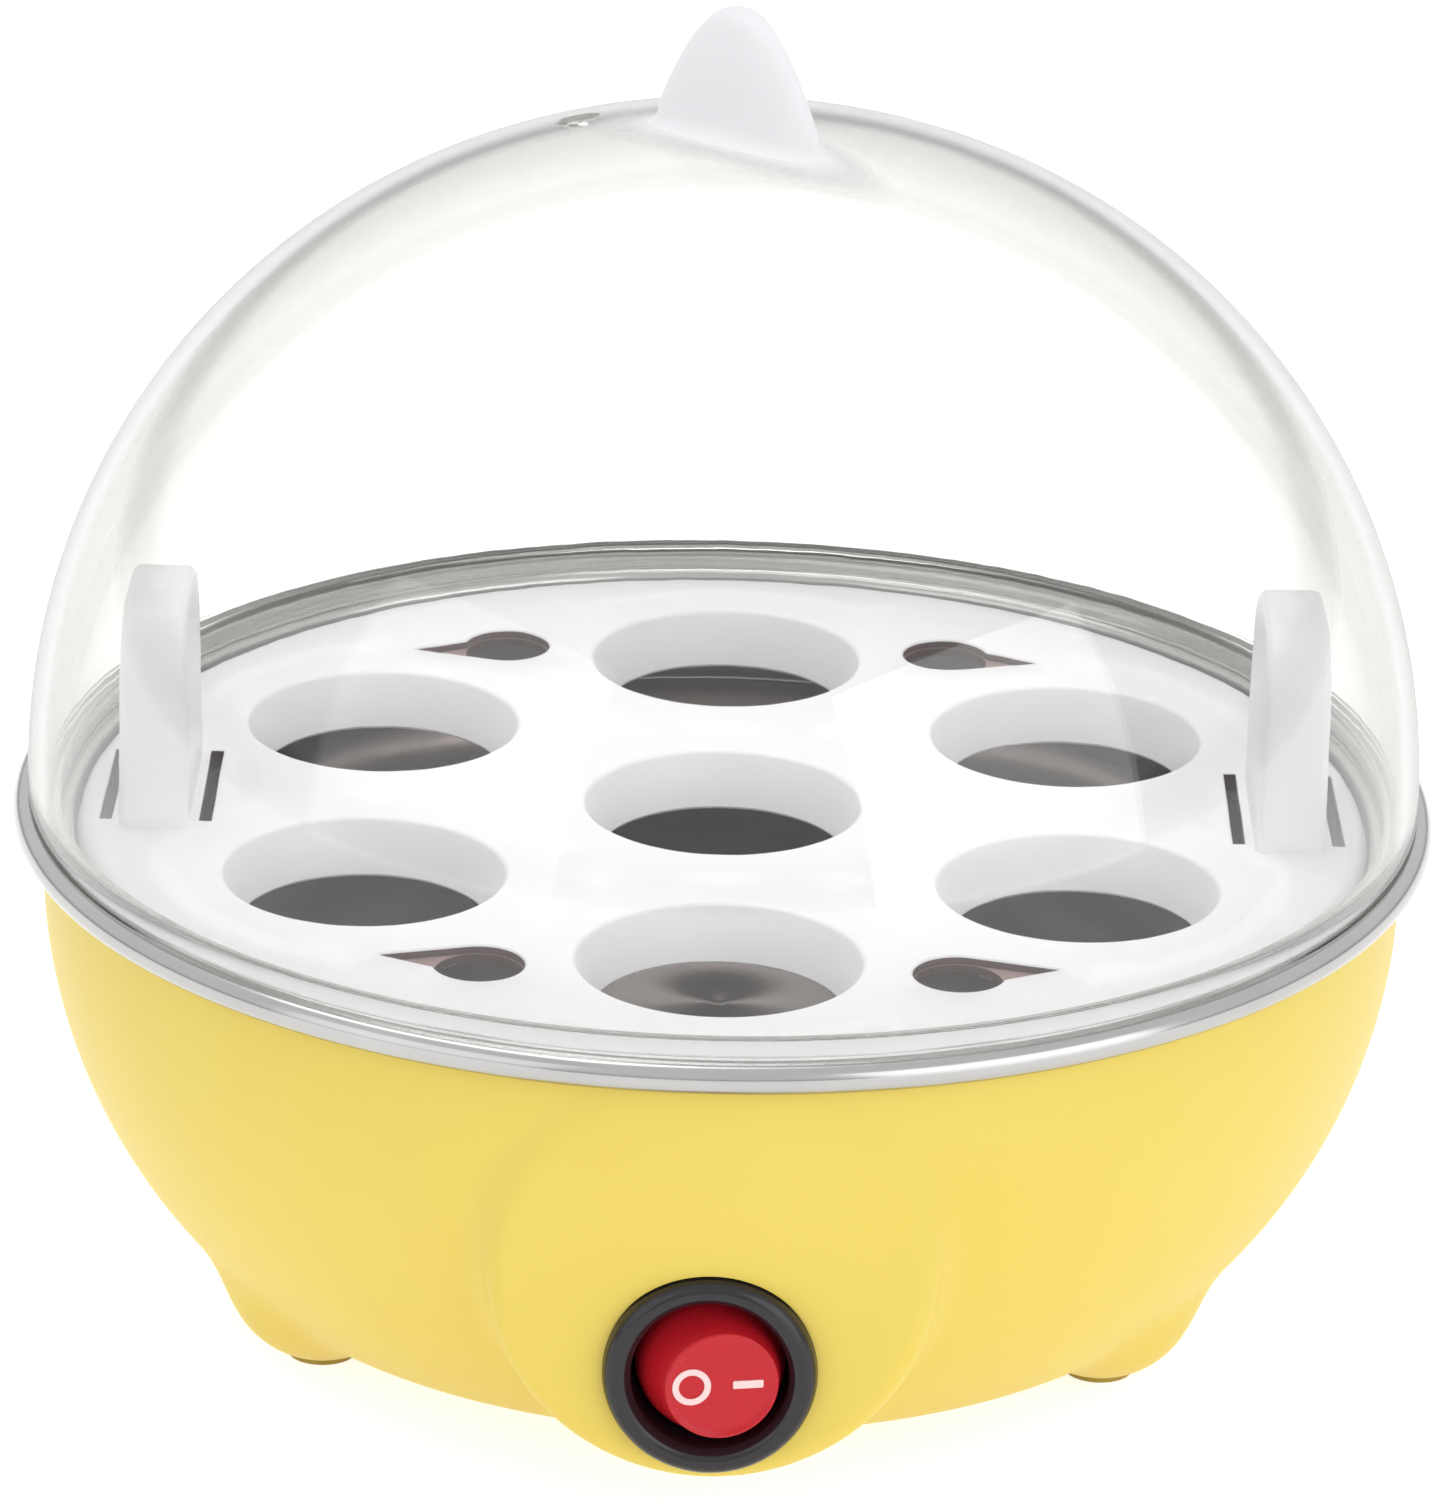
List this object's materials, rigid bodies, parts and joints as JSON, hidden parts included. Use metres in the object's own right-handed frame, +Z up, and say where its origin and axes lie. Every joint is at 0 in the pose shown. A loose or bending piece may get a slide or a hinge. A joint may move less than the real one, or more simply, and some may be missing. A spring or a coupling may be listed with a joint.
{
  "type": "egg cooker",
  "caption": "Steam egg cooker: round yellow bowl with a lit rocker switch, steel water pan, white lift-out egg tray and clear dome cover with a fin handle.",
  "frame": {"origin": "on the worktop under the bowl's axis", "axes": "+Z up, the rocker switch faces -Y, the cord inlet faces +Y"},
  "size_m": [0.16, 0.16, 0.1515],
  "materials": {
    "clear_cover": "clear, polished",
    "white_tray": "satin",
    "steel_pan": "polished sheet",
    "seal": "matte silicone",
    "yellow_shell": "satin",
    "yellow_base": "matte",
    "steel_screws": "zinc plated",
    "foot_rubber": "matte",
    "brass_standoff": "turned",
    "heater_casting": "as cast",
    "heater_sheath": "dark oxidised",
    "steel_tabs": "tinned",
    "thermostat_body": "phenolic",
    "fuse_body": "smooth",
    "fuse_sleeve": "woven glass fibre",
    "black_plastic": "satin",
    "red_rocker": "translucent",
    "plunger_nylon": "satin",
    "copper_contact": "rolled",
    "brass_terminals": "stamped",
    "lamp_glass": "clear",
    "block_nylon": "satin",
    "brown_insulation": "satin",
    "red_insulation": "satin",
    "blue_insulation": "satin"
  },
  "bodies": {
    "base": {"water_pan": "steel_pan", "rim_seal": "seal", "body_shell": "yellow_shell", "base_cover": "yellow_base", "base_screws": "steel_screws", "rubber_feet": "foot_rubber", "pan_standoffs": "brass_standoff", "heater_plate": "heater_casting", "heater_tube": "heater_sheath", "heater_pins": "steel_tabs", "thermostat": "thermostat_body", "thermostat_tabs": "steel_tabs", "thermostat_flange": "steel_tabs", "thermostat_screws": "steel_screws", "thermal_fuse": "fuse_body", "fuse_sleeve": "fuse_sleeve", "fuse_clip": "steel_tabs", "switch_housing": "black_plastic", "switch_terminals": "brass_terminals", "neon_lamp": "lamp_glass", "terminal_block": "block_nylon", "block_screws": "steel_screws", "cord_gland": "black_plastic", "gland_nut": "black_plastic", "live_wire": "brown_insulation", "switched_wire": "red_insulation", "fuse_wire": "red_insulation", "neutral_wire": "blue_insulation", "lamp_wire": "blue_insulation"},
    "tray": {"egg_tray": "white_tray"},
    "cover": {"dome_cover": "clear_cover"},
    "rocker": {"rocker_button": "red_rocker", "switch_plunger": "plunger_nylon"},
    "contact": {"contact_plate": "copper_contact"}
  },
  "joints": [
    {"name": "tray_lift", "type": "slide", "parent": "base", "child": "tray", "axis": [0, 0, 1], "range_m": [0, 0.06]},
    {"name": "cover_lift", "type": "slide", "parent": "tray", "child": "cover", "axis": [0, 0, 1], "range_m": [0, 0.12]},
    {"name": "rocker_tilt", "type": "hinge", "parent": "base", "child": "rocker", "pos_m": [0, -0.0695, 0.0214], "axis": [0, 0, -1], "range_deg": [0, 20]},
    {"name": "contact_tilt", "type": "hinge", "parent": "base", "child": "contact", "pos_m": [0, -0.0603, 0.0214], "axis": [0, 0, 1], "range_deg": [0, 12]}
  ],
  "couplings": [
    {"joint": "contact_tilt", "follows": "rocker_tilt", "ratio": 0.6}
  ]
}
